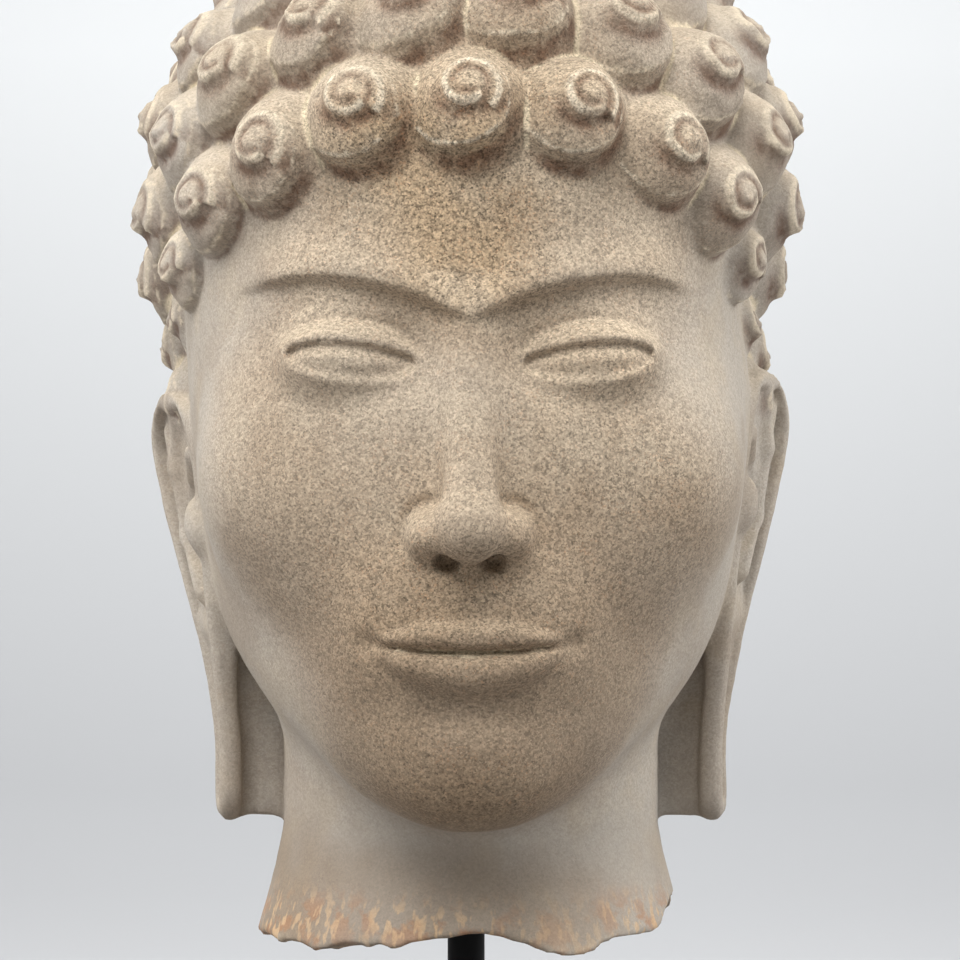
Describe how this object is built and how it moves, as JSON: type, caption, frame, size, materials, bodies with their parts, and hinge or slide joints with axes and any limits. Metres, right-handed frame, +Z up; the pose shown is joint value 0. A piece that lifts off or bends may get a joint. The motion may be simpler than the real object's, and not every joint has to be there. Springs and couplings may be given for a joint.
{
  "type": "stone buddha head on stand",
  "caption": "Carved sandstone head with snail-shell curls, long ears and a broken neck, held on a round black steel post and square foot.",
  "frame": {"origin": "centre of the foot's underside, on the axis of the post", "axes": "+Z up along the post, the face looks along -Y, +X to the right of the front view"},
  "size_m": [0.24, 0.2456, 0.4737],
  "materials": {
    "sandstone": "matt, fine-grained and weathered",
    "black_steel": "satin black"
  },
  "bodies": {
    "root": {"stone_head": "sandstone", "stand_post": "black_steel", "stand_foot": "black_steel"}
  },
  "joints": []
}
